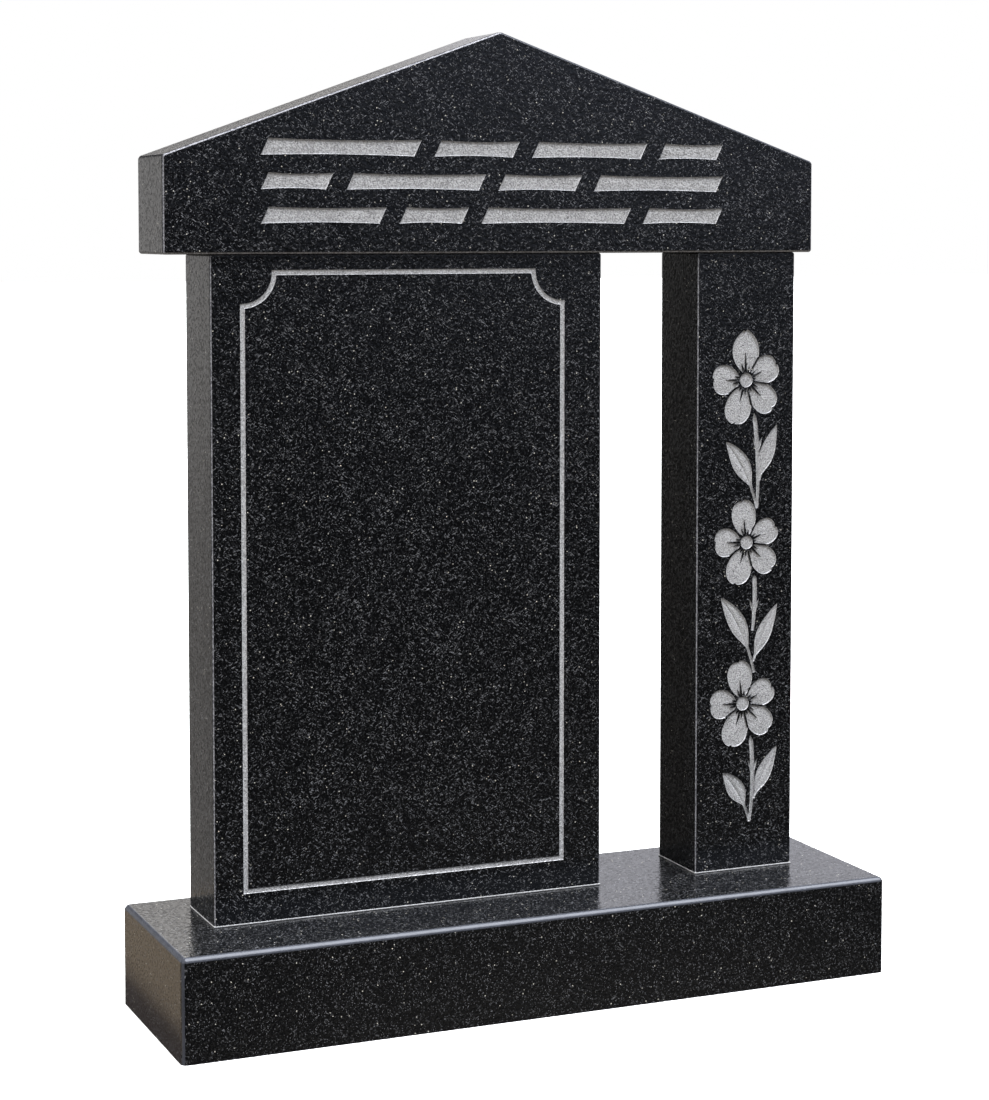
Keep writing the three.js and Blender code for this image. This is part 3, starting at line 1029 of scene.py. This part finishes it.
def polished_granite():
    tree, shader, place = new_material("polished_granite")
    crystals = crystal_mass(tree, place).least(1)
    stone = blend_colours(tree, crystals, GROUND, CRYSTAL)
    colour = blend_colours(tree, sparks(tree, place), stone, SPARK)
    feed(tree, shader.inputs["Base Color"], colour)
    grain = noise(tree, place, POLISH_NOISE)
    dull = ramp(tree, grain, *DULL_RANGE)
    feed(tree, shader.inputs["Roughness"], dull * DULL_PATCHES + POLISH_ROUGHNESS)
    shader.inputs["IOR"].default_value = STONE_IOR
    bump = add_node(tree, "ShaderNodeBump", Height=grain, Strength=1.0, Distance=POLISH_RIPPLE)
    feed(tree, shader.inputs["Normal"], bump.outputs["Normal"])


def arris_granite(name, look):
    """The granite of an arris."""
    dark, light, roughness, mottle = look
    tree, shader, place = new_material(name)
    worn = ramp(tree, noise(tree, place, *WORN_NOISE), *WORN_RANGE)
    patches = noise(tree, place, ARRIS_PATCHES)
    amount = (worn * mottle + patches * (1 - mottle)).least(1)
    feed(tree, shader.inputs["Base Color"], blend_colours(tree, amount, dark, light))
    feed(tree, shader.inputs["Roughness"], worn * WORN_ROUGHNESS + roughness)
    shader.inputs["IOR"].default_value = STONE_IOR


def carved_wall():
    """The steep sides of the carving, grey and half polished."""
    tree, shader, place = new_material("carved_wall")
    grain = ramp(tree, noise(tree, place, WALL_NOISE), *WALL_RANGE)
    tone = add_node(tree, "ShaderNodeVectorMath", {"operation": "SCALE"})
    tone.inputs[0].default_value = WALL_COLOUR
    feed(tree, tone.inputs["Scale"], grain)
    feed(tree, shader.inputs["Base Color"], tone.outputs["Vector"])
    shader.inputs["Roughness"].default_value = WALL_ROUGHNESS


def joint_bead():
    """Pale jointing with a fine sandy grain."""
    tree, shader, place = new_material("joint")
    sand = noise(tree, place, JOINT_NOISE)
    feed(tree, shader.inputs["Base Color"], blend_colours(tree, sand, JOINT_DARK, JOINT_LIGHT))
    shader.inputs["Roughness"].default_value = JOINT_ROUGHNESS


def frosted_granite():
    """The carved grounds, blasted to an even light grey with a fine grain."""
    tree, shader, place = new_material("frosted_granite")
    streaks = crystal_mass(tree, place)
    grain = ramp(tree, noise(tree, place, FROST_NOISE, 1), *FROST_RANGE)
    patches = noise(tree, place, FROST_PATCHES, 1)
    light = grain * FROST_GRAIN_LIGHT + patches * FROST_PATCH_LIGHT + FROST_LEAST_LIGHT
    amount = (light - streaks * FROST_STREAKS).least(1).most(0)
    feed(tree, shader.inputs["Base Color"], blend_colours(tree, amount, FROST_DARK, FROST_LIGHT))
    shader.inputs["Roughness"].default_value = FROST_ROUGHNESS
    shader.inputs["Specular IOR Level"].default_value = FROST_SHINE
    bump = add_node(tree, "ShaderNodeBump", Height=grain, Strength=1.0, Distance=FROST_RELIEF)
    feed(tree, shader.inputs["Normal"], bump.outputs["Normal"])


# Studio: a pale floor, soft lamps, and soft panels of light all round

def make_floor():
    mesh = flat_mesh("floor", -FLOOR_REACH, FLOOR_REACH, -FLOOR_REACH, FLOOR_REACH)
    floor = as_object(mesh, "floor")
    _, shader, _ = new_material("pale_floor")
    shader.inputs["Base Color"].default_value = FLOOR_COLOUR
    shader.inputs["Roughness"].default_value = FLOOR_ROUGHNESS
    shader.inputs["Specular IOR Level"].default_value = 0.0
    mesh.materials.append(bpy.data.materials["pale_floor"])
    floor.visible_glossy = False
    floor.visible_diffuse = False


def make_warm_card():
    """A glowing card that the base's end mirrors: a painted reflection of the warm lit ground to
    the left, with a painted shadow close to the stone.
    """
    mesh = flat_mesh("warm_card", *WARM_CARD)
    card = as_object(mesh, "warm_card")
    tree, shader, place = new_material("warm_card")
    tree.nodes.remove(shader)
    x, _, _ = split(tree, place)
    # The card's glow is painted light: warm further out, and a painted shadow in the strip by the
    # stone.
    edge = WARM_CARD[1] - SHADED_STRIP
    far = ramp(tree, x, edge - STRIP_BLUR, edge + STRIP_BLUR, 1.0, 0.0)
    glow = add_node(tree, "ShaderNodeEmission",
                    Color=blend_colours(tree, far, SHADED_LIGHT, WARM_LIGHT))
    feed(tree, tree.nodes["Material Output"].inputs["Surface"], glow.outputs["Emission"])
    material = bpy.data.materials["warm_card"]
    material.cycles.emission_sampling = "NONE"
    mesh.materials.append(material)
    card.visible_camera = False
    card.visible_diffuse = False
    card.visible_shadow = False


def direction_of(azimuth, elevation):
    turn, rise = math.radians(azimuth), math.radians(elevation)
    return Vector((math.sin(turn) * math.cos(rise), math.cos(turn) * math.cos(rise),
                   math.sin(rise)))


def make_lamp(name, lamp):
    """A wide soft light from afar, which the polish doesn't mirror."""
    azimuth, elevation, spread, strength, colour = lamp
    data = bpy.data.lights.new(name, "SUN")
    data.angle = math.radians(spread)
    data.energy = strength
    data.color = colour
    light = bpy.data.objects.new(name, data)
    light.rotation_euler = direction_of(azimuth, elevation).to_track_quat("Z", "Y").to_euler()
    light.visible_glossy = False
    bpy.context.scene.collection.objects.link(light)


def panel_light(tree, direction, panel):
    """A soft round patch of light in the surroundings, as a colour."""
    azimuth, elevation, radius, softness, colour = panel
    facing = add_node(tree, "ShaderNodeVectorMath", {"operation": "DOT_PRODUCT"})
    feed(tree, facing.inputs[0], direction)
    facing.inputs[1].default_value = direction_of(azimuth, elevation)
    amount = ramp(tree, facing.outputs["Value"], math.cos(math.radians(radius + softness)),
                  math.cos(math.radians(radius - softness)))
    lit = add_node(tree, "ShaderNodeVectorMath", {"operation": "SCALE"})
    lit.inputs[0].default_value = colour
    feed(tree, lit.inputs["Scale"], amount)
    return lit.outputs["Vector"]


def make_surroundings():
    world = bpy.data.worlds.new("studio")
    world.use_nodes = True
    bpy.context.scene.world = world
    tree = world.node_tree
    direction = add_node(tree, "ShaderNodeTexCoord").outputs["Generated"]
    _, _, height = split(tree, direction)
    above = ramp(tree, height, -HORIZON_BLUR, HORIZON_BLUR)
    total = blend_colours(tree, above, BELOW_COLOUR, ROOM_COLOUR)
    for panel in PANELS:
        summed = add_node(tree, "ShaderNodeVectorMath", {"operation": "ADD"})
        feed(tree, summed.inputs[0], total)
        feed(tree, summed.inputs[1], panel_light(tree, direction, panel))
        total = summed.outputs["Vector"]
    rays = add_node(tree, "ShaderNodeLightPath")
    seen = blend_colours(tree, rays.outputs["Is Camera Ray"], total, BACKGROUND)
    feed(tree, tree.nodes["Background"].inputs["Color"], seen)


make_camera()
polished_granite()
arris_granite("rubbed_arris", RUBBED)
arris_granite("polished_arris", POLISHED_ROUND)
frosted_granite()
carved_wall()
joint_bead()
STONES = {"base": make_base, "tablet": make_tablet, "pillar": make_pillar,
          "pediment": make_pediment}
for stone_name, make_stone in STONES.items():
    finish_stone(make_stone(), stone_name)
make_floor()
make_warm_card()
for lamp_name, lamp_light in LAMPS.items():
    make_lamp(lamp_name, lamp_light)
make_surroundings()
bpy.context.scene.view_settings.view_transform = "Standard"
